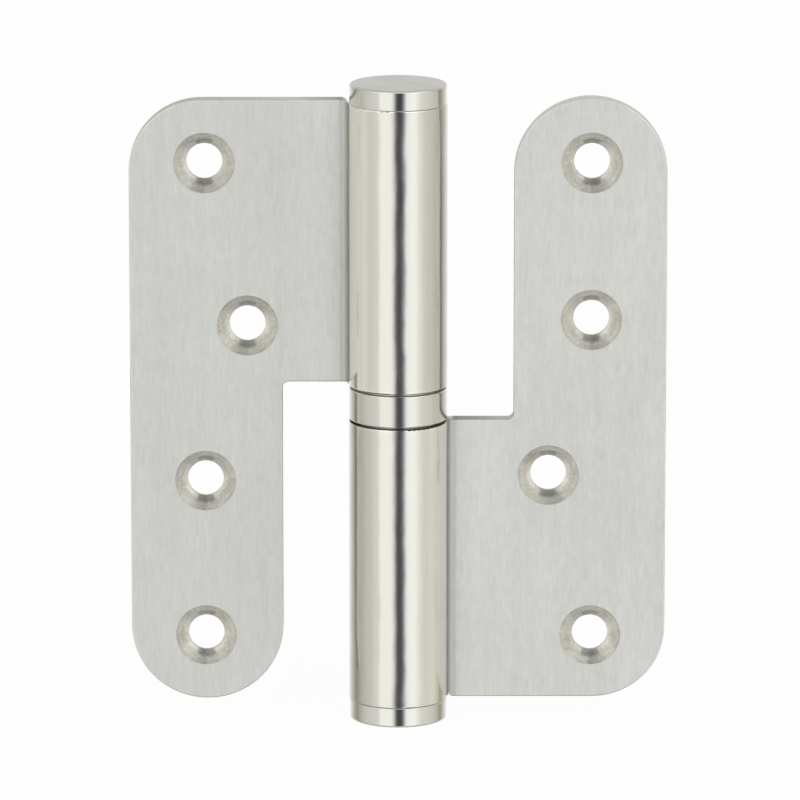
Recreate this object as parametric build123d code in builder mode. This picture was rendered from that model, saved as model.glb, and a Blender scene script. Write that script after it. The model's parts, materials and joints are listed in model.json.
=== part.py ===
from build123d import *
import math
import os

# A lift-off hinge of bent and rolled stainless sheet, open flat.
# The pin axis is Z, the countersunk faces look towards -Y, and the origin is on the axis at mid height.
# The upper leaf lies at -X and lifts off upwards. The lower leaf is the same pressing, turned end for end.

# Leaf blank
leaf_height = 110.0
leaf_thickness = 3.0
leaf_reach = 48.25           # pin axis to the outer edge of a leaf
arm_width = 27.45            # the long arm that runs down beside the other knuckle
arm_overrun = 0.3            # the arm's tip lies this far beyond the leaf's other end
wide_corner_radius = 13.1
notch_radius = 1.1
edge_round = 0.25            # broken edges on the countersunk side and round the knuckle's ends

# Knuckle
knuckle_diameter = 17.7
leaf_gap_closed = 3.0        # space between the two leaves of the shut hinge
root_radius = 1.3            # hollow where the leaf turns into the knuckle
seam_gap = 0.3               # from the strip's free end to the back of its own bend
shoulder_relief = 0.27       # the leaf's edge stands back from the knuckle's bearing end
shoulder_width = 0.35        # as much of the root stays level with the knuckle's ends
knuckle_setback = 0.3        # the knuckle's outer end stands back from the leaf's edge
root_corner_radius = 0.85    # round corner of the leaf beside that end

# Screw holes
screw_hole_diameter = 6.5
countersink_diameter = 11.0
countersink_angle = 90.0
outer_row_inset = 13.5       # from the leaf's outer edge
inner_row_step = 7.65        # the second hole lies this much nearer to the pin
end_hole_inset = 11.5        # from each end of the leaf
wide_hole_pitch = 29.7       # from the hole at the wide end to the next
arm_hole_pitch = 28.7        # from the hole at the arm's end to the next

# Bearing ring
ring_height = 6.4            # over its two raised seats
ring_setback = 0.05          # the ring is a little slimmer than the knuckles
ring_round = 0.3
seat_height = 0.3            # raised seats keep the ring's rim off the knuckles
seat_inset = 0.9

# Pin
running_clearance = 0.06     # on the radius, in the ring and in the upper knuckle
pin_top_gap = 2.95           # from the pin's tip to the plug of the upper cap
pin_shoulder_drop = 1.0      # the press diameter ends this far down in the lower knuckle
pin_nose_length = 2.5        # tapered tip that finds the upper knuckle
pin_nose_inset = 1.3
pin_nose_round = 0.8
pin_foot_chamfer = 0.6
pin_foot_gap = 1.0           # from the pin's foot to the plug of the lower cap

# Caps
cap_height = 3.6
cap_setback = 0.1
cap_round = 0.5
cap_rim_round = 0.15
plug_length = 8.0
plug_chamfer = 0.5

# Worked out from the sizes above
leaf_end = leaf_height / 2
leaf_front = leaf_gap_closed / 2
leaf_back = leaf_front + leaf_thickness
knuckle_radius = knuckle_diameter / 2
bore_radius = knuckle_radius - leaf_thickness
knuckle_foot = ring_height / 2
knuckle_end = leaf_end - knuckle_setback
shoulder_radius = knuckle_radius + shoulder_width
step_height = knuckle_foot + shoulder_relief
arm_inner = leaf_reach - arm_width
arm_centre = leaf_reach - arm_width / 2
arm_tip = leaf_end + arm_overrun
arm_round_start = arm_width / 2 - arm_tip
pin_radius = bore_radius - running_clearance
pin_foot = plug_length + pin_foot_gap - knuckle_end
pin_top = knuckle_end - plug_length - pin_top_gap
pin_shoulder = -knuckle_foot - pin_shoulder_drop
ring_radius = knuckle_radius - ring_setback
ring_rim = knuckle_foot - seat_height
seat_radius = knuckle_radius - seat_inset
cap_radius = knuckle_radius - cap_setback

# The hollow at the root touches the leaf's face and the knuckle
bend_y = leaf_front - root_radius
bend_distance = knuckle_radius + root_radius
bend_x = math.sqrt(bend_distance**2 - bend_y**2)
bend_lean = math.degrees(math.atan2(bend_y, bend_x))

# The turn that is left open between the bend and the strip's free end, from the triangle between them
bend_back_radius = root_radius + leaf_thickness + seam_gap
seam_angle = math.degrees(
    math.acos(
        (knuckle_radius**2 + bend_distance**2 - bend_back_radius**2) / (2 * knuckle_radius * bend_distance)
    )
)

leaf_face = Plane.XZ.offset(-leaf_front)
outer_row = leaf_reach - outer_row_inset
end_hole = leaf_end - end_hole_inset
screw_places = [
    (-outer_row, end_hole),
    (inner_row_step - outer_row, end_hole - wide_hole_pitch),
    (-outer_row, arm_hole_pitch - end_hole),
    (-outer_row, -end_hole),
]


with BuildPart() as upper_leaf:
    # The flat of the leaf, up to where it starts to bend
    with BuildSketch(leaf_face):
        with BuildLine():
            sides = Polyline(
                (-arm_inner, arm_round_start),
                (-arm_inner, step_height),
                (-bend_x, step_height),
                (-bend_x, leaf_end),
                (-leaf_reach, leaf_end),
                (-leaf_reach, arm_round_start),
            )
            ThreePointArc(sides @ 1, (-arm_centre, -arm_tip), sides @ 0)
        make_face()
        fillet(vertices().sort_by_distance((-leaf_reach, leaf_end))[0], wide_corner_radius)
        fillet(vertices().sort_by_distance((-arm_inner, step_height))[0], notch_radius)
    extrude(amount=-leaf_thickness)

    # The strip turns towards the front, rolls round the pin and ends behind, next to the leaf's back
    with BuildSketch(Plane.XY.offset(knuckle_foot)):
        with BuildLine():
            CenterArc((-bend_x, bend_y), root_radius, 90, -90 - bend_lean)
            outer_curl = CenterArc((0, 0), knuckle_radius, 180 - bend_lean, 360 - seam_angle)
            CenterArc((-bend_x, bend_y), root_radius + leaf_thickness, 90, -90 - bend_lean)
            inner_curl = CenterArc((0, 0), bore_radius, 180 - bend_lean, 360 - seam_angle)
            Line(outer_curl @ 1, inner_curl @ 1)
            Line((-bend_x, leaf_front), (-bend_x, leaf_back))
        make_face()
    extrude(amount=leaf_end - knuckle_foot)

    # Outside the knuckle's round the leaf's lower edge stands back from the bearing end
    with BuildSketch(Plane.XY.offset(knuckle_foot)):
        with Locations((-bend_x, 0)):
            Rectangle(bend_x, leaf_back, align=Align.MIN)
        Circle(shoulder_radius, mode=Mode.SUBTRACT)
    extrude(amount=shoulder_relief, mode=Mode.SUBTRACT)

    # The round runs on from the leaf's outline over the root
    countersunk_face = faces().filter_by(Axis.Y).sort_by(Axis.Y)[0]
    fillet(countersunk_face.outer_wire().edges().sort_by(Axis.X)[:-1], edge_round)

    # The knuckle's outer end stands back from the leaf's edge, and the leaf's corner beside it is rounded
    with BuildSketch(Plane.XY.offset(knuckle_end)):
        Circle(shoulder_radius)
    extrude(amount=knuckle_setback, mode=Mode.SUBTRACT)
    with BuildSketch(Plane.XY.offset(leaf_end)):
        with Locations((-shoulder_radius, 0)):
            Rectangle(shoulder_radius, leaf_back, align=Align.MIN)
        Circle(shoulder_radius, mode=Mode.SUBTRACT)
    extrude(amount=-root_corner_radius, mode=Mode.SUBTRACT)
    with BuildSketch(Plane.XZ):
        with BuildLine():
            corner = CenterArc(
                (-shoulder_radius - root_corner_radius, leaf_end - root_corner_radius),
                root_corner_radius,
                0,
                90,
            )
            Polyline(corner @ 1, (-shoulder_radius, leaf_end), corner @ 0)
        make_face()
    extrude(amount=-leaf_back, mode=Mode.SUBTRACT)

    for end in (knuckle_foot, knuckle_end):
        rim = edges().filter_by(GeomType.CIRCLE).sort_by_distance((knuckle_radius, 0, end))[0]
        fillet(rim, edge_round)

    with Locations(leaf_face):
        with Locations(*screw_places):
            CounterSinkHole(
                screw_hole_diameter / 2,
                countersink_diameter / 2,
                depth=leaf_thickness,
                counter_sink_angle=countersink_angle,
            )

with BuildPart() as lower_leaf:
    add(upper_leaf.part, rotation=(0, 180, 0))

with BuildPart() as hinge_pin:
    with BuildSketch(Plane.XZ):
        with BuildLine():
            Polyline(
                (0, pin_foot),
                (bore_radius - pin_foot_chamfer, pin_foot),
                (bore_radius, pin_foot + pin_foot_chamfer),
                (bore_radius, pin_shoulder),
                (pin_radius, pin_shoulder),
                (pin_radius, pin_top - pin_nose_length),
                (pin_radius - pin_nose_inset, pin_top),
                (0, pin_top),
                close=True,
            )
        make_face()
        fillet(vertices().sort_by_distance((pin_radius - pin_nose_inset, pin_top))[0], pin_nose_round)
    revolve(axis=Axis.Z)

with BuildPart() as bearing_ring:
    with BuildSketch(Plane.XZ):
        with BuildLine():
            Polyline(
                (bore_radius, -knuckle_foot),
                (seat_radius, -knuckle_foot),
                (seat_radius, -ring_rim),
                (ring_radius, -ring_rim),
                (ring_radius, ring_rim),
                (seat_radius, ring_rim),
                (seat_radius, knuckle_foot),
                (bore_radius, knuckle_foot),
                close=True,
            )
        make_face()
        fillet(vertices().group_by(Axis.X)[-1], ring_round)
    revolve(axis=Axis.Z)

with BuildPart() as upper_cap:
    with BuildSketch(Plane.XZ):
        with BuildLine():
            Polyline(
                (0, knuckle_end - plug_length),
                (bore_radius - plug_chamfer, knuckle_end - plug_length),
                (bore_radius, knuckle_end - plug_length + plug_chamfer),
                (bore_radius, knuckle_end),
                (cap_radius, knuckle_end),
                (cap_radius, knuckle_end + cap_height),
                (0, knuckle_end + cap_height),
                close=True,
            )
        make_face()
        fillet(vertices().sort_by_distance((cap_radius, knuckle_end + cap_height))[0], cap_round)
        fillet(vertices().sort_by_distance((cap_radius, knuckle_end))[0], cap_rim_round)
    revolve(axis=Axis.Z)

with BuildPart() as lower_cap:
    add(upper_cap.part, rotation=(0, 180, 0))

pieces = {
    "upper_leaf": upper_leaf,
    "lower_leaf": lower_leaf,
    "hinge_pin": hinge_pin,
    "bearing_ring": bearing_ring,
    "upper_cap": upper_cap,
    "lower_cap": lower_cap,
}
os.makedirs("parts", exist_ok=True)
for name, piece in pieces.items():
    piece.part.label = name
    export_step(piece.part, f"parts/{name}.step")
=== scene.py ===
"""Looks of the lift-off hinge: brushed leaves, polished rolled knuckles, bearing ring and caps on white.

All lengths are in metres and all angles in degrees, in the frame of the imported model: the pin axis is Z,
the countersunk faces look towards -Y and the origin is on the axis, half way up the leaves.
Patterns in the finishes are sized in millimetres, as a maker would give them.
"""

from __future__ import annotations

import json
import logging
import math
from dataclasses import dataclass
from enum import Enum

import bpy
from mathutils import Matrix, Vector

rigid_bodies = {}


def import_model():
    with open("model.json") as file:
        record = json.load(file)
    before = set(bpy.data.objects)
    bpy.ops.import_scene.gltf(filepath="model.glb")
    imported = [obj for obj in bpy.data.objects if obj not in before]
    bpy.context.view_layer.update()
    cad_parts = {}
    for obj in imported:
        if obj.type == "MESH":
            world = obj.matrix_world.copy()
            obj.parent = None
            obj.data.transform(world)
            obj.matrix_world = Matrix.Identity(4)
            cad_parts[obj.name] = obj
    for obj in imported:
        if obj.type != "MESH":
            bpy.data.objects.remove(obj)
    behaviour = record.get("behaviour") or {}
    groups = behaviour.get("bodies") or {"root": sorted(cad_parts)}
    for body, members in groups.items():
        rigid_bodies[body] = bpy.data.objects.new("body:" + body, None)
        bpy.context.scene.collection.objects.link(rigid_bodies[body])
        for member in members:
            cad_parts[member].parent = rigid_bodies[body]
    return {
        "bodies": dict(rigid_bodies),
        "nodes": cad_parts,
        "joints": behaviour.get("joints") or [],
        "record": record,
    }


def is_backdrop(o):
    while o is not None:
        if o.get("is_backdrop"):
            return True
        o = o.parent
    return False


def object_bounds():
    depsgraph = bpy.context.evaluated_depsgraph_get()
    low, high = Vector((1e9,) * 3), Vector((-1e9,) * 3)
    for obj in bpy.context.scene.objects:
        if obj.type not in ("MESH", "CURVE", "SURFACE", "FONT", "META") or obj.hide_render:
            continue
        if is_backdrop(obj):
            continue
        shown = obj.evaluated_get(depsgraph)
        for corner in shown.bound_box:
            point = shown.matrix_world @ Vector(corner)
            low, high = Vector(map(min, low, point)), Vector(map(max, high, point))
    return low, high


LOG = logging.getLogger("hinge")

Colour = tuple[float, float, float]
Socket = bpy.types.NodeSocket

MILLIMETRES_IN_A_METRE = 1000.0
WHITE: Colour = (1.0, 1.0, 1.0)


@dataclass(frozen=True)
class Fade:
    """A smooth change from low to high while the value that it follows goes from start to end.

    Args:
        start: where the change begins.
        end: where it is over.
        low: the result before the start.
        high: the result after the end.
    """

    start: float
    end: float
    low: float = 0.0
    high: float = 1.0


class Grain(Enum):
    """Which way the fine lines of a finish run, as line counts per millimetre along X, Y and Z."""

    ALONG_PIN = (9.0, 9.0, 0.12)
    SHORT_STROKES = (3.4, 3.4, 0.24)
    ROUND_PIN = (0.35, 0.35, 14.0)
    CUTTER_RINGS = (0.35, 0.35, 3.2)


@dataclass(frozen=True)
class SteelFinish:
    """One surface of stainless steel.

    Args:
        colour: linear colour of the steel.
        roughness: middle roughness.
        roughness_spread: how far the lines move the roughness up and down.
        tone_spread: how far the lines move the colour up and down, as a share of it.
        grain: the way the lines run.
        line_depth: depth of the lines in millimetres.
    """

    colour: Colour
    roughness: float
    roughness_spread: float
    tone_spread: float
    grain: Grain
    line_depth: float


UPPER_LEAF_FLAT = SteelFinish((0.738, 0.745, 0.712), 0.46, 0.04, 0.05, Grain.SHORT_STROKES, 0.0009)
LOWER_LEAF_FLAT = SteelFinish((0.768, 0.775, 0.742), 0.46, 0.04, 0.05, Grain.SHORT_STROKES, 0.0009)
KNUCKLE_ROUND = SteelFinish((0.660, 0.648, 0.605), 0.13, 0.02, 0.025, Grain.ALONG_PIN, 0.0002)
SHEARED_EDGE = SteelFinish((0.360, 0.360, 0.338), 0.52, 0.06, 0.10, Grain.ALONG_PIN, 0.004)
# The drilled walls are painted dark: painted shade inside the screw holes.
DRILLED_WALL = SteelFinish((0.300, 0.288, 0.255), 0.40, 0.05, 0.10, Grain.ROUND_PIN, 0.003)
COUNTERSINK_CUT = SteelFinish((0.690, 0.678, 0.630), 0.34, 0.05, 0.10, Grain.CUTTER_RINGS, 0.003)
# The faces inside the seams carry painted shade: dark in the lower seam, lighter in the upper one.
SEAM_FACE_DARK_SHADE = SteelFinish((0.190, 0.178, 0.160), 0.42, 0.06, 0.15, Grain.ROUND_PIN, 0.002)
SEAM_FACE_LIGHT_SHADE = SteelFinish((0.620, 0.588, 0.535), 0.42, 0.06, 0.15, Grain.ROUND_PIN, 0.002)
RING_ROUND = SteelFinish((0.640, 0.630, 0.590), 0.15, 0.02, 0.015, Grain.ROUND_PIN, 0.0001)
CAP_ROUND = SteelFinish((0.660, 0.652, 0.618), 0.12, 0.02, 0.015, Grain.ROUND_PIN, 0.00005)
CAP_FACE = SteelFinish((0.594, 0.602, 0.562), 0.50, 0.05, 0.03, Grain.ROUND_PIN, 0.001)
PIN_GROUND = SteelFinish((0.560, 0.560, 0.540), 0.20, 0.05, 0.04, Grain.ROUND_PIN, 0.0004)


@dataclass(frozen=True)
class Unevenness:
    """How uneven the tone of a finish is.

    Args:
        speckle_size: size of the fine speckle in millimetres.
        speckle_spread: how far the speckle moves the tone up and down, as a share of it.
        cloud_size: size of the slow clouds in millimetres.
        cloud_spread: how far the clouds move the tone up and down, as a share of it.
    """

    speckle_size: float
    speckle_spread: float
    cloud_size: float
    cloud_spread: float


BRUSHED_SHEET = Unevenness(0.65, 0.02, 13.0, 0.016)
TURNED_FACE = Unevenness(0.6, 0.02, 4.0, 0.03)
CUT_CONE = Unevenness(0.5, 0.07, 2.0, 0.06)


@dataclass(frozen=True)
class Wave:
    """Slow waves in a polished surface.

    Args:
        length: distance from wave to wave in millimetres.
        depth: depth of the waves in millimetres.
    """

    length: float
    depth: float


ROLLED_WAVES = (Wave(8.0, 0.16), Wave(2.2, 0.016))
TURNED_WAVES = (Wave(5.0, 0.008),)

CAP_RIM = Fade(0.1, 0.5)
# Painted light on the caps' rounded rims.
CAP_RIM_PAINTED_LIGHT = Fade(0.0, 1.0, 1.0, 1.2)


class ShaderTree:
    """Adds nodes to one node tree, in columns from left to right, and links them."""

    column_width = 220
    rows_in_a_column = 4

    def __init__(self, tree: bpy.types.NodeTree) -> None:
        """Takes over a tree.

        Args:
            tree: the tree that the nodes go into.
        """
        self.tree = tree
        self.tree.nodes.clear()

    def add(self, kind: str, **settings: object) -> bpy.types.Node:
        """Adds one node.

        Args:
            kind: the node's type name.
            settings: properties of the node to set.

        Returns:
            The new node.
        """
        column, row = divmod(len(self.tree.nodes), self.rows_in_a_column)
        node = self.tree.nodes.new(kind)
        node.location = (column * self.column_width, -row * self.column_width)
        for name, value in settings.items():
            setattr(node, name, value)
        return node

    def feed(self, socket: Socket, source: object) -> None:
        """Links a socket to a source, or writes a plain value into it.

        Args:
            socket: the input to fill.
            source: an output socket, or a value for the input.
        """
        if isinstance(source, Socket):
            self.tree.links.new(source, socket)
        else:
            socket.default_value = source

    def math(self, operation: str, first: object, second: object = 0.0) -> Socket:
        """Works out one value from two.

        Args:
            operation: the Math node's operation.
            first: an output or a number.
            second: an output or a number.

        Returns:
            The result.
        """
        node = self.add("ShaderNodeMath", operation=operation)
        self.feed(node.inputs[0], first)
        self.feed(node.inputs[1], second)
        return node.outputs[0]

    def vector(self, operation: str, first: object, second: object = (0.0, 0.0, 0.0)) -> bpy.types.Node:
        """Works on one or two vectors.

        Args:
            operation: the Vector Math node's operation.
            first: an output or three numbers.
            second: an output or three numbers.

        Returns:
            The node, because some operations give a vector and some a value.
        """
        node = self.add("ShaderNodeVectorMath", operation=operation)
        self.feed(node.inputs[0], first)
        self.feed(node.inputs[1], second)
        return node

    def absolute(self, value: object) -> Socket:
        """Drops the sign of a value."""
        return self.math("ABSOLUTE", value)

    def opposite(self, value: object) -> Socket:
        """Turns the sign of a value round."""
        return self.math("MULTIPLY", value, -1.0)

    def both(self, first: object, second: object) -> Socket:
        """Combines two masks into one that is 1 where both are."""
        return self.math("MULTIPLY", first, second)

    def fade(self, value: object, fade: Fade) -> Socket:
        """Follows a value with a fade.

        Args:
            value: the value that is followed.
            fade: the fade.

        Returns:
            The result.
        """
        node = self.add("ShaderNodeMapRange", interpolation_type="SMOOTHSTEP")
        limits = {"From Min": fade.start, "From Max": fade.end, "To Min": fade.low, "To Max": fade.high}
        for name, number in limits.items():
            node.inputs[name].default_value = number
        self.feed(node.inputs["Value"], value)
        return node.outputs["Result"]

    def noise(self, vector: object, scale: object, detail: object, **others: float) -> Socket:
        """Makes noise in space.

        Args:
            vector: the coordinates that it follows.
            scale: how dense it is.
            detail: how many finer layers it has.
            others: its other inputs, where they aren't at their defaults.

        Returns:
            The noise's value.
        """
        node = self.add("ShaderNodeTexNoise", noise_dimensions="3D")
        for name, value in {"Vector": vector, "Scale": scale, "Detail": detail, **others}.items():
            self.feed(node.inputs[name], value)
        return node.outputs["Fac"]

    def blend(self, share: object, first: object, second: object, kind: str = "FLOAT") -> Socket:
        """Goes from the first to the second as the share goes from 0 to 1.

        Args:
            share: the mask.
            first: value or colour where the mask is 0.
            second: value or colour where the mask is 1.
            kind: FLOAT for values and RGBA for colours.

        Returns:
            The result.
        """
        node = self.add("ShaderNodeMix", data_type=kind)
        places = {"FLOAT": (0, 2, 3, 0), "RGBA": (0, 6, 7, 2)}[kind]
        self.feed(node.inputs[places[0]], share)
        self.feed(node.inputs[places[1]], first)
        self.feed(node.inputs[places[2]], second)
        return node.outputs[places[3]]


def colour_of(colour: Colour) -> tuple[float, float, float, float]:
    """Gives a colour its alpha of 1."""
    return (*colour, 1.0)


class GroupTree(ShaderTree):
    """The tree of a new node group with named sockets."""

    def __init__(self, name: str, inputs: dict[str, object], outputs: tuple[str, ...]) -> None:
        """Makes the group.

        Args:
            name: the group's name.
            inputs: the default of each input: a number, three numbers, or None for coordinates.
            outputs: the names of its outputs, which are all values.
        """
        group = bpy.data.node_groups.new(name, "ShaderNodeTree")
        super().__init__(group)
        for label, value in inputs.items():
            kind = "NodeSocketFloat" if isinstance(value, float) else "NodeSocketVector"
            socket = group.interface.new_socket(name=label, in_out="INPUT", socket_type=kind)
            if value is not None:
                socket.default_value = value
        for label in outputs:
            group.interface.new_socket(name=label, in_out="OUTPUT", socket_type="NodeSocketFloat")
        self.given = self.add("NodeGroupInput").outputs
        self.out = self.add("NodeGroupOutput").inputs


class EffectGroups:
    """The node groups that more than one finish shares, each built once.

    The contrasts say between which levels of a noise a mask goes from 0 to 1.
    """

    line_contrast = Fade(0.25, 0.75)
    line_roughness = 0.65
    broad_line_contrast = Fade(0.3, 0.7)
    broad_line_scale = 0.16
    broad_line_detail = 2.0
    wave_detail = 1.0
    smudge_contrast = Fade(0.5, 0.72)
    smudge_detail = 3.0
    handled_contrast = Fade(0.45, 0.6)
    scratch_stretch = (0.5, 0.5, 0.035)
    scratch_detail = 1.0
    scratch_distortion = 0.4
    noise_middle = 0.5
    scratch_width = Fade(0.0, 0.004, 1.0, 0.0)
    corner_sharpness = Fade(0.80, 0.99, 1.0, 0.0)
    corner_samples = 6
    cloud_contrast = Fade(0.3, 0.7)
    cloud_detail = 2.0

    def __init__(self) -> None:
        """Builds every group."""
        self.lines = self._lines()
        self.waviness = self._waviness()
        self.handling = self._handling()
        self.worn_edge = self._worn_edge()
        self.pin_distance = self._pin_distance()
        self.clouds = self._clouds()

    def _lines(self) -> bpy.types.NodeTree:
        """Fine lines of a brushed or turned surface, from 0 to 1.

        Returns:
            The group. Its Stretch input holds lines per millimetre along each axis.
        """
        inputs = {"Position": None, "Stretch": (1.0, 1.0, 1.0), "Detail": 3.0}
        group = GroupTree("Finish Lines", inputs, ("Lines", "Broad Lines"))
        stretched = group.vector("MULTIPLY", group.given["Position"], group.given["Stretch"]).outputs[0]
        fine = group.noise(stretched, 1.0, group.given["Detail"], Roughness=self.line_roughness)
        broad = group.noise(stretched, self.broad_line_scale, self.broad_line_detail)
        group.feed(group.out["Lines"], group.fade(fine, self.line_contrast))
        group.feed(group.out["Broad Lines"], group.fade(broad, self.broad_line_contrast))
        return group.tree

    def _waviness(self) -> bpy.types.NodeTree:
        """The slow waves that rolling and bending leave in a polished surface.

        Returns:
            The group. Its Height is in the unit of its Depth input.
        """
        inputs = {"Position": None, "Wave Length": 6.0, "Depth": 0.01}
        group = GroupTree("Rolled Waviness", inputs, ("Height",))
        scale = group.math("DIVIDE", 1.0, group.given["Wave Length"])
        waves = group.noise(group.given["Position"], scale, self.wave_detail)
        group.feed(group.out["Height"], group.math("MULTIPLY", waves, group.given["Depth"]))
        return group.tree

    def _handling(self) -> bpy.types.NodeTree:
        """Faint smudges and a few hairline scratches from handling, as masks.

        Returns:
            The group, with a Smudge and a Scratch mask from 0 to 1.
        """
        group = GroupTree("Handling Marks", {"Position": None, "Smudge Size": 9.0}, ("Smudge", "Scratch"))
        position = group.given["Position"]
        scale = group.math("DIVIDE", 1.0, group.given["Smudge Size"])
        cloud = group.noise(position, scale, self.smudge_detail)
        group.feed(group.out["Smudge"], group.fade(cloud, self.smudge_contrast))
        stretched = group.vector("MULTIPLY", position, self.scratch_stretch).outputs[0]
        hair = group.noise(stretched, 1.0, self.scratch_detail, Distortion=self.scratch_distortion)
        from_middle = group.absolute(group.math("SUBTRACT", hair, self.noise_middle))
        line = group.fade(from_middle, self.scratch_width)
        handled = group.fade(cloud, self.handled_contrast)
        group.feed(group.out["Scratch"], group.both(line, handled))
        return group.tree

    def _worn_edge(self) -> bpy.types.NodeTree:
        """A mask that is 1 along outward corners, where handling polishes the steel.

        Returns:
            The group. Its Width input is in metres.
        """
        group = GroupTree("Worn Edge", {"Width": 0.0003}, ("Mask",))
        bevel = group.add("ShaderNodeBevel", samples=self.corner_samples)
        group.feed(bevel.inputs["Radius"], group.given["Width"])
        surface = group.add("ShaderNodeNewGeometry")
        agreement = group.vector("DOT_PRODUCT", bevel.outputs["Normal"], surface.outputs["Normal"])
        group.feed(group.out["Mask"], group.fade(agreement.outputs["Value"], self.corner_sharpness))
        return group.tree

    def _pin_distance(self) -> bpy.types.NodeTree:
        """The distance from the pin axis, in the unit of the position.

        Returns:
            The group.
        """
        group = GroupTree("Pin Distance", {"Position": None}, ("Distance",))
        level = group.vector("MULTIPLY", group.given["Position"], (1.0, 1.0, 0.0)).outputs[0]
        group.feed(group.out["Distance"], group.vector("LENGTH", level).outputs["Value"])
        return group.tree

    def _clouds(self) -> bpy.types.NodeTree:
        """The uneven tone of steel: a fine speckle and slow clouds, from 0 to 1.

        Returns:
            The group. Its sizes are in millimetres.
        """
        inputs = {"Position": None, "Speckle Size": 0.45, "Cloud Size": 13.0}
        group = GroupTree("Cloudy Tone", inputs, ("Speckle", "Cloud"))
        for label in ("Speckle", "Cloud"):
            scale = group.math("DIVIDE", 1.0, group.given[f"{label} Size"])
            noise = group.noise(group.given["Position"], scale, self.cloud_detail)
            group.feed(group.out[label], group.fade(noise, self.cloud_contrast))
        return group.tree


@dataclass
class Surface:
    """One finish laid out in a material: what it feeds to the shader.

    Args:
        colour: colour output.
        roughness: roughness output.
        height: height output in millimetres.
    """

    colour: Socket
    roughness: Socket
    height: Socket


class SteelMaterial:
    """A steel material in which one or more finishes meet, each under its own mask.

    Its masks and places are in millimetres. A share says how much a broad line or a worn corner brings in.
    """

    bump_distance = 1.0 / MILLIMETRES_IN_A_METRE
    mask_softness = 0.05
    broad_line_share = 0.3
    level_enough = Fade(0.55, 0.9)
    scratch_roughness = 0.06
    worn_roughness = 0.16
    worn_roughness_share = 0.5
    worn_colour = (0.72, 0.72, 0.69)
    worn_colour_share = 0.35

    def __init__(self, name: str, groups: EffectGroups) -> None:
        """Starts the material.

        Args:
            name: the material's name.
            groups: the shared node groups.
        """
        self.material = bpy.data.materials.new(name)
        self.material.use_nodes = True
        self.tree = ShaderTree(self.material.node_tree)
        self.groups = groups
        coordinates = self.tree.add("ShaderNodeTexCoord")
        self.position = self.tree.vector(
            "MULTIPLY", coordinates.outputs["Object"], (MILLIMETRES_IN_A_METRE,) * 3
        ).outputs[0]
        self.facing = self.tree.add("ShaderNodeSeparateXYZ")
        self.tree.feed(self.facing.inputs[0], coordinates.outputs["Normal"])
        self.place = self.tree.add("ShaderNodeSeparateXYZ")
        self.tree.feed(self.place.inputs[0], self.position)

    def group(self, tree: bpy.types.NodeTree, **values: object) -> bpy.types.Node:
        """Places a shared group.

        Args:
            tree: the group.
            values: its inputs, with underscores for the spaces in their names.

        Returns:
            The group's node.
        """
        node = self.tree.add("ShaderNodeGroup")
        node.node_tree = tree
        for name, value in values.items():
            self.tree.feed(node.inputs[name.replace("_", " ")], value)
        return node

    def lay(self, finish: SteelFinish, position: Socket | None = None) -> Surface:
        """Lays out one finish over the whole piece.

        Args:
            finish: the finish.
            position: coordinates in millimetres that the lines follow, or None for the piece's own.

        Returns:
            The finish's outputs.
        """
        tree = self.tree
        lines = self.group(
            self.groups.lines,
            Position=position if position is not None else self.position,
            Stretch=finish.grain.value,
        )
        mixed = tree.blend(self.broad_line_share, lines.outputs["Lines"], lines.outputs["Broad Lines"])
        tone = tree.math("MULTIPLY_ADD", mixed, 2.0 * finish.tone_spread)
        tone.node.inputs[2].default_value = 1.0 - finish.tone_spread
        tinted = tree.vector("SCALE", finish.colour)
        tree.feed(tinted.inputs["Scale"], tone)
        rough = tree.math("MULTIPLY_ADD", lines.outputs["Lines"], 2.0 * finish.roughness_spread)
        rough.node.inputs[2].default_value = finish.roughness - finish.roughness_spread
        height = tree.math("MULTIPLY", lines.outputs["Lines"], finish.line_depth)
        return Surface(tinted.outputs[0], rough, height)

    def shade(self, surface: Surface, *factors: Socket) -> Surface:
        """Makes a finish lighter or darker.

        Args:
            surface: the finish.
            factors: what its colour is multiplied by.

        Returns:
            The finish in its new tone.
        """
        colour = surface.colour
        for factor in factors:
            scaled = self.tree.vector("SCALE", colour)
            self.tree.feed(scaled.inputs["Scale"], factor)
            colour = scaled.outputs[0]
        return Surface(colour, surface.roughness, surface.height)

    def uneven(self, unevenness: Unevenness, position: Socket | None = None) -> tuple[Socket, ...]:
        """Works out what an uneven tone multiplies a colour by.

        Args:
            unevenness: how uneven it is.
            position: coordinates in millimetres that the pattern follows, or None for the piece's own.

        Returns:
            A factor for the speckle and one for the clouds.
        """
        clouds = self.group(
            self.groups.clouds,
            Position=position if position is not None else self.position,
            Speckle_Size=unevenness.speckle_size,
            Cloud_Size=unevenness.cloud_size,
        )
        spreads = {"Speckle": unevenness.speckle_spread, "Cloud": unevenness.cloud_spread}
        return tuple(
            self.tree.fade(clouds.outputs[label], Fade(0.0, 1.0, 1.0 - spread, 1.0 + spread))
            for label, spread in spreads.items()
        )

    def wave(self, surface: Surface, waves: tuple[Wave, ...]) -> Surface:
        """Puts slow waves into a finish.

        Args:
            surface: the finish.
            waves: the waves.

        Returns:
            The wavy finish.
        """
        height = surface.height
        for wave in waves:
            node = self.group(
                self.groups.waviness, Position=self.position, Wave_Length=wave.length, Depth=wave.depth
            )
            height = self.tree.math("ADD", height, node.outputs["Height"])
        return Surface(surface.colour, surface.roughness, height)

    def rings(self, distance: Socket) -> Socket:
        """Lays coordinates in which lines across Z become rings.

        Args:
            distance: distance in millimetres from the axis of the rings.

        Returns:
            The coordinates.
        """
        node = self.tree.add("ShaderNodeCombineXYZ")
        self.tree.feed(node.inputs["Z"], distance)
        return node.outputs[0]

    def pin_distance(self) -> Socket:
        """Works out the distance from the pin axis in millimetres."""
        return self.group(self.groups.pin_distance, Position=self.position).outputs["Distance"]

    def within(self, distance: Socket, radius: float) -> Socket:
        """Masks what lies closer than a radius, both in millimetres."""
        edge = Fade(radius - self.mask_softness, radius + self.mask_softness, 1.0, 0.0)
        return self.tree.fade(distance, edge)

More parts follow.
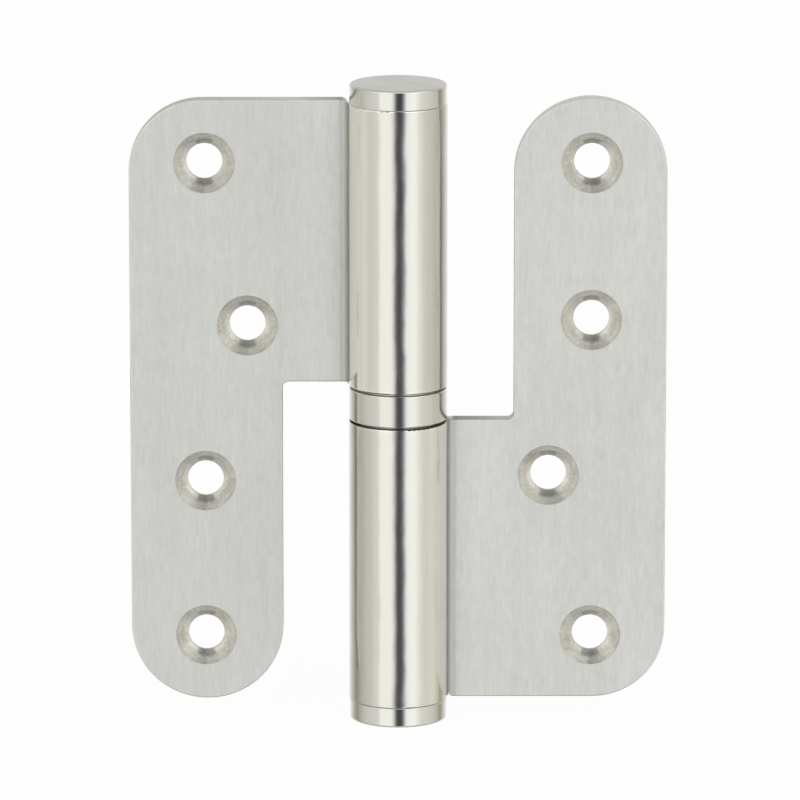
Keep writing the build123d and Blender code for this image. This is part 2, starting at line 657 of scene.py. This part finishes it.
    def level_face(self) -> Socket:
        """Masks the faces that are square to the pin axis."""
        return self.tree.fade(self.tree.absolute(self.facing.outputs["Z"]), self.level_enough)

    def over(self, mask: Socket, below: Surface, above: Surface) -> Surface:
        """Puts one finish over another under a mask.

        Args:
            mask: 1 where the upper finish shows.
            below: the finish that shows elsewhere.
            above: the finish that goes on top.

        Returns:
            The outputs of the two together.
        """
        return Surface(
            self.tree.blend(mask, below.colour, above.colour, "RGBA"),
            self.tree.blend(mask, below.roughness, above.roughness),
            self.tree.blend(mask, below.height, above.height),
        )

    def finish(self, surface: Surface, anisotropy: float, smudges: float) -> bpy.types.Material:
        """Adds wear and handling and connects the shader.

        Args:
            surface: the finish of the whole piece.
            anisotropy: how much the lines stretch a reflection across them.
            smudges: how much the smudges add to the roughness.

        Returns:
            The finished material.
        """
        tree = self.tree
        marks = self.group(self.groups.handling, Position=self.position)
        worn = self.group(self.groups.worn_edge)
        rough = tree.math("MULTIPLY_ADD", marks.outputs["Smudge"], smudges)
        tree.feed(rough.node.inputs[2], surface.roughness)
        scratch = tree.math("MULTIPLY", marks.outputs["Scratch"], self.scratch_roughness)
        rough = tree.math("ADD", rough, scratch)
        smooth = tree.math("MULTIPLY", worn.outputs["Mask"], self.worn_roughness_share)
        rough = tree.blend(smooth, rough, self.worn_roughness)
        wear = tree.math("MULTIPLY", worn.outputs["Mask"], self.worn_colour_share)
        bright = tree.blend(wear, surface.colour, colour_of(self.worn_colour), "RGBA")
        bump = tree.add("ShaderNodeBump")
        bump.inputs["Distance"].default_value = self.bump_distance
        tree.feed(bump.inputs["Height"], surface.height)
        shader = tree.add("ShaderNodeBsdfPrincipled")
        shader.inputs["Metallic"].default_value = 1.0
        shader.inputs["Anisotropic"].default_value = anisotropy
        tree.feed(shader.inputs["Base Color"], bright)
        tree.feed(shader.inputs["Roughness"], rough)
        tree.feed(shader.inputs["Normal"], bump.outputs["Normal"])
        if anisotropy:
            tangent = tree.add("ShaderNodeTangent", direction_type="RADIAL", axis="Z")
            tree.feed(shader.inputs["Tangent"], tangent.outputs[0])
        out = tree.add("ShaderNodeOutputMaterial")
        tree.feed(out.inputs["Surface"], shader.outputs[0])
        return self.material


@dataclass
class SteelPiece:
    """A piece of the hinge, which gets a steel material of its own.

    Args:
        node: name of its CAD node.
    """

    node: str

    def material(self, groups: EffectGroups) -> bpy.types.Material:
        """Builds the piece's material, which each kind of piece does in its own way."""
        raise NotImplementedError

    def build(self, frame: dict, groups: EffectGroups) -> None:
        """Gives every material slot of the CAD node the piece's material.

        Args:
            frame: the loaded frame.
            groups: the shared node groups.
        """
        material = self.material(groups)
        for place in frame["nodes"][self.node].material_slots:
            place.material = material
        LOG.info("dressed %s", self.node)


@dataclass(frozen=True)
class LeafTones:
    """Painted light and shade on a leaf, and the tone of its sheared edges, each as a factor over some
    measure.

    A side is measured outwards from the pin on the leaf's own side, a height from the middle of the hinge, a
    hole's distance from its axis, and all are in millimetres.

    Args:
        hollow: painted shade on the flat in the hollow at the root, over the distance from the pin.
        near_knuckle: painted light on the flat towards the knuckle, over the side.
        root_line: painted shade on the knuckle where it meets the hollow, over the side.
        far_side: painted shade on the knuckle away from the leaf, over the side there.
        bearing_lip: a painted highlight on the knuckle next to the ring, over the height.
        outer_lip: a painted highlight on the knuckle next to the cap, over the height.
        arm_edge: the sheared edge round the arm's tip, over the way towards it.
        wide_edge: the sheared edge at the wide end, over the way towards it.
        step_edge: painted shade on the sheared edge of the step near the knuckle, over the side.
        step_far_edge: painted light on the sheared edge of the step farther out, over the side.
        down_edge: painted shade on the edges that look down, over how level they are.
        sunk_ring: painted light on a countersink's ring next to the drilled hole, over the hole's distance.
        sunk_rim: painted shade on a countersink's rim, over the hole's distance.
        sunk_side: painted light on a countersink's upper side and painted shade on its lower side, over how
            far it faces up.
        sunk_shadow: painted shadow in the deepest part of a countersink, over how far the mask for it goes.
    """

    hollow: Fade = Fade(9.3, 10.9, 0.54, 1.0)
    near_knuckle: Fade = Fade(13.0, 22.0, 1.06, 1.0)
    root_line: Fade = Fade(6.9, 8.8, 1.0, 0.80)
    far_side: Fade = Fade(4.0, 5.2, 1.0, 0.92)
    bearing_lip: Fade = Fade(3.5, 4.1, 1.06, 1.0)
    outer_lip: Fade = Fade(54.35, 54.6, 1.0, 1.1)
    arm_edge: Fade = Fade(30.0, 50.0, 1.0, 1.55)
    wide_edge: Fade = Fade(30.0, 50.0, 1.0, 1.25)
    step_edge: Fade = Fade(9.5, 12.0, 0.65, 0.9)
    step_far_edge: Fade = Fade(12.0, 19.0, 1.0, 1.3)
    down_edge: Fade = Fade(0.1, 0.6, 1.0, 0.62)
    sunk_ring: Fade = Fade(3.4, 4.3, 1.45, 1.0)
    sunk_rim: Fade = Fade(4.8, 5.3, 1.0, 0.92)
    sunk_side: Fade = Fade(-0.7, 0.7, 1.3, 0.93)
    sunk_shadow: Fade = Fade(0.0, 1.0, 1.0, 0.5)


@dataclass(frozen=True)
class LeafMasks:
    """Where the finishes of a leaf meet, in millimetres or over how far a face looks along an axis.

    Args:
        outside_knuckle: from the knuckle's root to the flat, over the side.
        cut_square: the edges that are square to the flat, over how far they face forwards or back.
        rounded: the round of such an edge, over the same.
        bearing_height: the knuckle's end at the ring, over the height.
        deepest: the deepest part of a countersink, over the hole's distance.
        steepest: the upper and lower side of a countersink, over how far it faces up or down.
    """

    outside_knuckle: Fade = Fade(9.45, 10.25)
    cut_square: Fade = Fade(0.15, 0.35, 1.0, 0.0)
    rounded: Fade = Fade(0.5, 0.97, 1.0, 0.0)
    bearing_height: Fade = Fade(10.0, 20.0, 1.0, 0.0)
    deepest: Fade = Fade(3.9, 4.7, 1.0, 0.0)
    steepest: Fade = Fade(0.6, 0.7)


@dataclass
class Leaf(SteelPiece):
    """A pressed leaf with its rolled knuckle.

    Args:
        hand: 1 for the upper leaf, which lies at -X, and -1 for the lower one, turned end for end.
        flat_finish: the finish of its flat.
        seam_face_shade: the finish of the knuckle's bearing end.
        root_painted_light: the knuckle's tone towards the root, over the side in millimetres.
        step_painted_shade: how much the step's round edge shows the sheared steel, over the height in
            millimetres.
        tones: painted light and shade on the leaf, and the tone of its sheared edges.
        masks: where the finishes meet.
        knuckle_radius: outer radius of the knuckle in millimetres.
        root_blend: where, outwards from the knuckle's radius, the polish fades into the satin of the flat.
        screw_rows: for each hole its distance from the pin and its height, in millimetres, on the upper leaf.
        countersink_radius: outer radius of the countersinks in millimetres.
        drill_radius: radius of the screw holes in millimetres.
        back_face: how far the leaf's back lies behind the pin axis, in millimetres.
        back_margin: how far in front of that back the countersink's finish starts to fade and is gone.
        stroke_density: how dense the speckle is along X, Y and Z.
        anisotropy: how much the lines stretch a reflection across them.
        smudges: how much the smudges add to the roughness.
    """

    hand: float
    flat_finish: SteelFinish
    # The bearing end's finish carries the painted shade of its seam.
    seam_face_shade: SteelFinish
    # Painted light on the knuckle towards the root.
    root_painted_light: Fade
    # Painted shade: the dark sheared steel laid over the step's round edge.
    step_painted_shade: Fade
    tones: LeafTones = LeafTones()
    masks: LeafMasks = LeafMasks()
    knuckle_radius: float = 8.85
    root_blend: tuple[float, float] = (0.03, 0.45)
    screw_rows: tuple[tuple[float, float], ...] = (
        (34.75, 43.5),
        (27.1, 13.8),
        (34.75, -14.8),
        (34.75, -43.5),
    )
    countersink_radius: float = 5.5
    drill_radius: float = 3.25
    back_face: float = 4.5
    back_margin: tuple[float, float] = (0.3, 0.1)
    stroke_density: tuple[float, float, float] = (1.0, 1.0, 0.3)
    anisotropy: float = 0.6
    smudges: float = 0.015

    def hole_distance(self, steel: SteelMaterial) -> Socket:
        """Works out the distance to the nearest screw hole's axis.

        Args:
            steel: the material that needs it.

        Returns:
            The distance in millimetres.
        """
        tree = steel.tree
        nearest = None
        flat = tree.vector("MULTIPLY", steel.position, (1.0, 0.0, 1.0)).outputs[0]
        for reach, height in self.screw_rows:
            place = (-self.hand * reach, 0.0, self.hand * height)
            distance = tree.vector("DISTANCE", flat, place).outputs["Value"]
            nearest = distance if nearest is None else tree.math("MINIMUM", nearest, distance)
        return nearest

    def brushed_flat(self, steel: SteelMaterial, side: Socket, distance: Socket) -> Surface:
        """Lays the brushed satin of the flat, with its uneven tone, painted light towards the knuckle and
        painted shade in the hollow at the root.

        Args:
            steel: the leaf's material.
            side: how far out a point lies on the leaf's side of the pin.
            distance: distance from the pin axis.

        Returns:
            The finish.
        """
        tree = steel.tree
        strokes = tree.vector("MULTIPLY", steel.position, self.stroke_density).outputs[0]
        return steel.shade(
            steel.lay(self.flat_finish),
            *steel.uneven(BRUSHED_SHEET, strokes),
            tree.fade(side, self.tones.near_knuckle),
            tree.fade(distance, self.tones.hollow),
        )

    def polished_round(self, steel: SteelMaterial, side: Socket) -> Surface:
        """Lays the polish of the knuckle, with painted light towards the root, painted shade at the root line
        and on its far side, and painted highlights at its ends.

        Args:
            steel: the leaf's material.
            side: how far out a point lies on the leaf's side of the pin.

        Returns:
            The finish.
        """
        tree = steel.tree
        height = tree.absolute(steel.place.outputs["Z"])
        return steel.shade(
            steel.wave(steel.lay(KNUCKLE_ROUND), ROLLED_WAVES),
            tree.fade(side, self.root_painted_light),
            tree.fade(side, self.tones.root_line),
            tree.fade(tree.opposite(side), self.tones.far_side),
            tree.fade(height, self.tones.bearing_lip),
            tree.fade(height, self.tones.outer_lip),
        )

    def edges(self, steel: SteelMaterial, side: Socket, surface: Surface) -> Surface:
        """Puts the sheared edges on, lighter round the arm's tip and the wide end, with painted shade in the
        step beside the knuckle and on edges that look down, and painted light farther out along the step.

        Args:
            steel: the leaf's material.
            side: how far out a point lies on the leaf's side of the pin.
            surface: the finish of the leaf so far.

        Returns:
            The finish with its edges.
        """
        tree = steel.tree
        along = tree.math("MULTIPLY", steel.place.outputs["Z"], self.hand)
        sheared = steel.shade(
            steel.lay(SHEARED_EDGE),
            tree.fade(tree.opposite(along), self.tones.arm_edge),
            tree.fade(along, self.tones.wide_edge),
            tree.fade(side, self.tones.step_edge),
            tree.fade(side, self.tones.step_far_edge),
        )
        outside = tree.fade(side, self.masks.outside_knuckle)
        across = tree.absolute(steel.facing.outputs["Y"])
        cut_square = tree.both(tree.fade(across, self.masks.cut_square), outside)
        surface = steel.over(cut_square, surface, sheared)
        # Painted shade: the dark sheared steel is laid over the round edge in the step.
        in_step = tree.fade(tree.absolute(along), self.step_painted_shade)
        rounded = tree.both(tree.fade(across, self.masks.rounded), in_step)
        surface = steel.over(tree.both(rounded, outside), surface, sheared)
        down = tree.opposite(steel.facing.outputs["Z"])
        return steel.shade(surface, tree.fade(down, self.tones.down_edge))

    def screw_holes(self, steel: SteelMaterial, surface: Surface) -> Surface:
        """Puts the cut countersinks in, with their painted light and shade, and the drilled walls, painted
        dark as shade inside the holes.

        Args:
            steel: the leaf's material.
            surface: the finish of the leaf so far.

        Returns:
            The finish with its holes.
        """
        tree = steel.tree
        hole = self.hole_distance(steel)
        upwards = steel.facing.outputs["Z"]
        steepest = tree.fade(tree.absolute(upwards), self.masks.steepest)
        deepest = tree.both(tree.fade(hole, self.masks.deepest), steepest)
        # The countersink carries painted shadow in its deepest part, painted light next to the hole and on
        # its upper side, and painted shade at its rim and on its lower side.
        cut = steel.shade(
            steel.lay(COUNTERSINK_CUT, steel.rings(hole)),
            tree.fade(deepest, self.tones.sunk_shadow),
            tree.fade(hole, self.tones.sunk_ring),
            tree.fade(hole, self.tones.sunk_rim),
            tree.fade(upwards, self.tones.sunk_side),
            *steel.uneven(CUT_CONE),
        )
        margin = Fade(*(self.back_face - gap for gap in self.back_margin), 1.0, 0.0)
        in_front = tree.fade(steel.place.outputs["Y"], margin)
        sunk = tree.both(steel.within(hole, self.countersink_radius), in_front)
        surface = steel.over(sunk, surface, cut)
        # Painted shade: the dark drilled wall inside each hole.
        return steel.over(steel.within(hole, self.drill_radius), surface, steel.lay(DRILLED_WALL))

    def material(self, groups: EffectGroups) -> bpy.types.Material:
        """Builds the leaf's material: satin flat, polished knuckle, sheared edges and cut countersinks.

        Args:
            groups: the shared node groups.

        Returns:
            The material.
        """
        steel = SteelMaterial(f"Stainless_{self.node}", groups)
        tree = steel.tree
        side = tree.math("MULTIPLY", steel.place.outputs["X"], -self.hand)
        distance = steel.pin_distance()
        flat = self.brushed_flat(steel, side, distance)
        away = tree.fade(distance, Fade(*(self.knuckle_radius + gap for gap in self.root_blend)))
        surface = steel.over(away, self.polished_round(steel, side), flat)
        level = tree.both(steel.level_face(), tree.math("SUBTRACT", 1.0, away))
        height = tree.absolute(steel.place.outputs["Z"])
        # The knuckle's end inside the seam takes the seam face's finish and its painted shade.
        bearing = tree.both(level, tree.fade(height, self.masks.bearing_height))
        surface = steel.over(bearing, surface, steel.lay(self.seam_face_shade))
        surface = self.edges(steel, side, surface)
        surface = self.screw_holes(steel, surface)
        return steel.finish(surface, self.anisotropy, self.smudges)


@dataclass
class TurnedPiece(SteelPiece):
    """A piece turned on the lathe: the bearing ring, a cap or the pin.

    Args:
        round_finish: the finish of its round side.
        upper_finish: the finish of its faces that look up.
        lower_finish: the finish of its faces that look down.
        soft_rim: from the round side to the faces, over how level they are.
        waves: the slow waves in its round side.
        rim_painted_light: its rounded rims, over the mask for them.
        rim_start: where that mask begins, over how level the rim is.
        rim_end: where it is over.
        smudges: how much the smudges add to the roughness.
    """

    round_finish: SteelFinish
    upper_finish: SteelFinish
    lower_finish: SteelFinish
    soft_rim: Fade = Fade(0.55, 0.9)
    waves: tuple[Wave, ...] = TURNED_WAVES
    # Painted light on the rounded rims.
    rim_painted_light: Fade = Fade(0.0, 1.0, 1.0, 1.0)
    rim_start: Fade = Fade(0.2, 0.5)
    rim_end: Fade = Fade(0.85, 0.99, 1.0, 0.0)
    smudges: float = 0.01

    def material(self, groups: EffectGroups) -> bpy.types.Material:
        """Builds the piece's material: a polished round side, faces with turning rings, and any painted light
        given for its rounded rims.

        Args:
            groups: the shared node groups.

        Returns:
            The material.
        """
        steel = SteelMaterial(f"Stainless_{self.node}", groups)
        tree = steel.tree
        rings = steel.rings(steel.pin_distance())
        uneven = steel.uneven(TURNED_FACE)
        surface = steel.wave(steel.lay(self.round_finish), self.waves)
        upwards = steel.facing.outputs["Z"]
        for finish, way in ((self.upper_finish, upwards), (self.lower_finish, tree.opposite(upwards))):
            face = steel.shade(steel.lay(finish, rings), *uneven)
            surface = steel.over(tree.fade(way, self.soft_rim), surface, face)
        level = tree.absolute(upwards)
        rim = tree.both(tree.fade(level, self.rim_start), tree.fade(level, self.rim_end))
        # Painted light on the rounded rims.
        surface = steel.shade(surface, tree.fade(rim, self.rim_painted_light))
        return steel.finish(surface, anisotropy=0.0, smudges=self.smudges)


@dataclass(frozen=True)
class Band:
    """A stretch of the studio's surroundings, as the metal sees it.

    Args:
        angle: direction from the camera's side, round the pin axis; positive to the camera's right.
        colour: linear colour and strength there.
    """

    angle: float
    colour: Colour


STUDIO_BANDS = (
    Band(-180.0, (1.05, 1.05, 1.05)),
    Band(-152.0, (1.00, 1.00, 1.00)),
    Band(-139.0, (0.78, 0.77, 0.74)),
    Band(-127.0, (0.57, 0.54, 0.47)),
    Band(-117.0, (0.41, 0.38, 0.32)),
    Band(-107.0, (0.54, 0.52, 0.46)),
    Band(-95.0, (0.70, 0.69, 0.64)),
    Band(-78.0, (0.84, 0.83, 0.78)),
    Band(-56.0, (0.92, 0.91, 0.88)),
    Band(-47.0, (0.96, 0.96, 0.93)),
    Band(-43.0, (1.28, 1.28, 1.26)),
    Band(-17.0, (1.30, 1.30, 1.28)),
    Band(-12.0, (1.05, 1.05, 1.03)),
    Band(-4.0, (0.10, 0.10, 0.11)),
    Band(2.0, (0.07, 0.07, 0.08)),
    Band(8.0, (0.06, 0.07, 0.08)),
    Band(13.0, (0.36, 0.37, 0.38)),
    Band(20.0, (1.28, 1.29, 1.30)),
    Band(40.0, (1.36, 1.36, 1.35)),
    Band(50.0, (1.10, 1.10, 1.08)),
    Band(60.0, (0.96, 0.95, 0.92)),
    Band(78.0, (0.90, 0.89, 0.83)),
    Band(97.0, (0.78, 0.76, 0.69)),
    Band(110.0, (0.62, 0.59, 0.50)),
    Band(119.0, (0.43, 0.39, 0.32)),
    Band(128.0, (0.60, 0.57, 0.50)),
    Band(140.0, (0.82, 0.81, 0.78)),
    Band(153.0, (1.00, 1.00, 1.00)),
    Band(180.0, (1.05, 1.05, 1.05)),
)


@dataclass(frozen=True)
class SoftLamp:
    """A square soft lamp that points at the hinge.

    Args:
        name: the lamp's name.
        azimuth: direction from the camera's side, positive to the right.
        elevation: height above the hinge, as an angle.
        distance: distance from the hinge.
        size: side of the lamp.
        power: its power in watts.
    """

    name: str
    azimuth: float
    elevation: float
    distance: float
    size: float
    power: float


def hang(
    data: bpy.types.ID, azimuth: float, elevation: float, distance: float, aim: Vector
) -> bpy.types.Object:
    """Hangs a lamp or a camera so that it points at a place.

    Args:
        data: the lamp or the camera.
        azimuth: direction from the camera's side, positive to the right.
        elevation: height above the place, as an angle.
        distance: distance from the place.
        aim: the place.

    Returns:
        The object that holds it.
    """
    holder = bpy.data.objects.new(data.name, data)
    turn, lift = math.radians(azimuth), math.radians(elevation)
    level = math.cos(lift)
    way = Vector((math.sin(turn) * level, -math.cos(turn) * level, math.sin(lift)))
    holder.location = aim + way * distance
    holder.rotation_euler = (-way).to_track_quat("-Z", "Y").to_euler()
    bpy.context.scene.collection.objects.link(holder)
    return holder


@dataclass
class Studio:
    """A white floor, the surroundings that the metal mirrors, soft lamps and the camera.

    Args:
        floor_size: side of the floor.
        floor_glow: share of the floor's colour that the camera sees as plain white.
        floor_colour: how pale the floor is.
        camera_elevation: how far the camera looks down.
        camera_distance: distance from the camera to the hinge.
        pixels_per_metre: scale of the photograph at the pin axis.
        image_width: width of the picture in pixels.
        sensor_width: width of the sensor in millimetres.
        aim: the point that the camera looks at.
        bands: the surroundings, from the left round to the right.
        overhead: how much darker the surroundings are straight above and below.
        overhead_span: how steep a direction is, from 0 to 1, where they start to darken and are darkest.
        lamps: the soft lamps.
        view_depth: how far the camera sees.
    """

    floor_size: float = 40.0
    floor_glow: float = 0.96
    floor_colour: float = 0.9
    camera_elevation: float = 12.4
    camera_distance: float = 1.4
    pixels_per_metre: float = 5557.5
    image_width: float = 800.0
    sensor_width: float = 36.0
    aim: tuple[float, float, float] = (0.00033, 0.0, 0.00042)
    bands: tuple[Band, ...] = STUDIO_BANDS
    overhead: float = 0.6
    overhead_span: tuple[float, float] = (0.55, 0.9)
    lamps: tuple[SoftLamp, ...] = (
        SoftLamp("lamp_left", -45.0, 30.0, 1.6, 1.4, 2.0),
        SoftLamp("lamp_right", 45.0, 30.0, 1.6, 1.4, 2.0),
    )
    view_depth: float = 100.0

    def world(self) -> None:
        """Builds the surroundings: bands of light and shade for the metal and plain white for the camera."""
        world = bpy.data.worlds.new("white_studio")
        world.use_nodes = True
        bpy.context.scene.world = world
        tree = ShaderTree(world.node_tree)
        place = tree.add("ShaderNodeTexCoord")
        way = tree.add("ShaderNodeSeparateXYZ")
        tree.feed(way.inputs[0], place.outputs["Generated"])
        turn = tree.math("ARCTAN2", way.outputs["X"], tree.opposite(way.outputs["Y"]))
        share = tree.math("MULTIPLY_ADD", turn, 1.0 / math.tau)
        share.node.inputs[2].default_value = 0.5
        ramp = tree.add("ShaderNodeValToRGB")
        tree.feed(ramp.inputs[0], share)
        stops = ramp.color_ramp.elements
        brightest = max(max(band.colour) for band in self.bands)
        for index, band in enumerate(self.bands):
            at = band.angle / 360.0 + 0.5
            stop = stops[index] if index < 2 else stops.new(at)
            stop.position = at
            stop.color = colour_of(tuple(channel / brightest for channel in band.colour))
        studio = tree.add("ShaderNodeBackground")
        strength = Fade(*self.overhead_span, brightest, self.overhead * brightest)
        tree.feed(studio.inputs["Strength"], tree.fade(tree.absolute(way.outputs["Z"]), strength))
        tree.feed(studio.inputs["Color"], ramp.outputs["Color"])
        white = tree.add("ShaderNodeBackground")
        white.inputs["Color"].default_value = colour_of(WHITE)
        path = tree.add("ShaderNodeLightPath")
        seen = tree.math("MAXIMUM", path.outputs["Is Camera Ray"], path.outputs["Is Transmission Ray"])
        mix = tree.add("ShaderNodeMixShader")
        tree.feed(mix.inputs[0], seen)
        tree.feed(mix.inputs[1], studio.outputs[0])
        tree.feed(mix.inputs[2], white.outputs[0])
        out = tree.add("ShaderNodeOutputWorld")
        tree.feed(out.inputs["Surface"], mix.outputs[0])

    def floor(self, level: float) -> None:
        """Lays the floor, which keeps the hinge's shadow and stays out of its reflections.

        Args:
            level: height of the floor.
        """
        half = self.floor_size / 2.0
        corners = [(-half, -half, level), (half, -half, level), (half, half, level), (-half, half, level)]
        mesh = bpy.data.meshes.new("floor")
        mesh.from_pydata(corners, [], [(0, 1, 2, 3)])
        floor = bpy.data.objects.new("floor", mesh)
        bpy.context.scene.collection.objects.link(floor)
        floor.visible_glossy = False
        floor.visible_shadow = False
        material = bpy.data.materials.new("pale_floor")
        material.use_nodes = True
        tree = ShaderTree(material.node_tree)
        matte = tree.add("ShaderNodeBsdfDiffuse")
        matte.inputs["Color"].default_value = colour_of((self.floor_colour,) * 3)
        white = tree.add("ShaderNodeEmission")
        white.inputs["Color"].default_value = colour_of(WHITE)
        path = tree.add("ShaderNodeLightPath")
        mix = tree.add("ShaderNodeMixShader")
        tree.feed(mix.inputs[0], tree.math("MULTIPLY", path.outputs["Is Camera Ray"], self.floor_glow))
        tree.feed(mix.inputs[1], matte.outputs[0])
        tree.feed(mix.inputs[2], white.outputs[0])
        out = tree.add("ShaderNodeOutputMaterial")
        tree.feed(out.inputs["Surface"], mix.outputs[0])
        mesh.materials.append(material)
        floor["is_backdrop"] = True

    def lights(self) -> None:
        """Hangs the soft lamps."""
        for lamp in self.lamps:
            data = bpy.data.lights.new(lamp.name, "AREA")
            data.size = lamp.size
            data.energy = lamp.power
            hang(data, lamp.azimuth, lamp.elevation, lamp.distance, Vector())

    def camera(self) -> None:
        """Sets the camera at the photograph's angle and scale."""
        data = bpy.data.cameras.new("camera")
        data.sensor_width = self.sensor_width
        data.lens = self.pixels_per_metre * self.camera_distance / self.image_width * self.sensor_width
        data.clip_end = self.view_depth
        bpy.context.scene.camera = hang(
            data, 0.0, self.camera_elevation, self.camera_distance, Vector(self.aim)
        )

    def build(self, level: float) -> None:
        """Builds the whole studio.

        Args:
            level: height of the floor.
        """
        bpy.context.scene.view_settings.view_transform = "Standard"
        self.world()
        self.floor(level)
        self.lights()
        self.camera()
        LOG.info("built the studio with %d lamps", len(self.lamps))


def clear_start_scene() -> None:
    """Removes what a new file holds."""
    for thing in list(bpy.data.objects):
        bpy.data.objects.remove(thing)


def main() -> None:
    """Builds the scene piece by piece and reports each."""
    logging.basicConfig(level=logging.INFO, format="%(name)s: %(message)s")
    clear_start_scene()
    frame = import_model()
    cad_low, cad_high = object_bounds()
    groups = EffectGroups()
    parts = [
        Leaf(
            "upper_leaf",
            hand=1.0,
            flat_finish=UPPER_LEAF_FLAT,
            seam_face_shade=SEAM_FACE_LIGHT_SHADE,
            root_painted_light=Fade(4.9, 6.5, 1.0, 1.32),
            step_painted_shade=Fade(5.0, 6.0, 0.9, 0.0),
        ),
        Leaf(
            "lower_leaf",
            hand=-1.0,
            flat_finish=LOWER_LEAF_FLAT,
            seam_face_shade=SEAM_FACE_DARK_SHADE,
            root_painted_light=Fade(4.9, 6.5, 1.0, 1.18),
            step_painted_shade=Fade(5.0, 6.0, 0.5, 0.0),
        ),
        # The ring's faces carry the seams' painted shade, lighter above and dark below.
        TurnedPiece("bearing_ring", RING_ROUND, SEAM_FACE_LIGHT_SHADE, SEAM_FACE_DARK_SHADE),
        TurnedPiece("upper_cap", CAP_ROUND, CAP_FACE, CAP_FACE, CAP_RIM, rim_painted_light=CAP_RIM_PAINTED_LIGHT),
        TurnedPiece("lower_cap", CAP_ROUND, CAP_FACE, CAP_FACE, CAP_RIM, rim_painted_light=CAP_RIM_PAINTED_LIGHT),
        TurnedPiece("hinge_pin", PIN_GROUND, PIN_GROUND, PIN_GROUND, waves=()),
    ]
    for part in parts:
        part.build(frame, groups)
    Studio().build(level=cad_low[2])


if __name__ == "__main__":
    main()
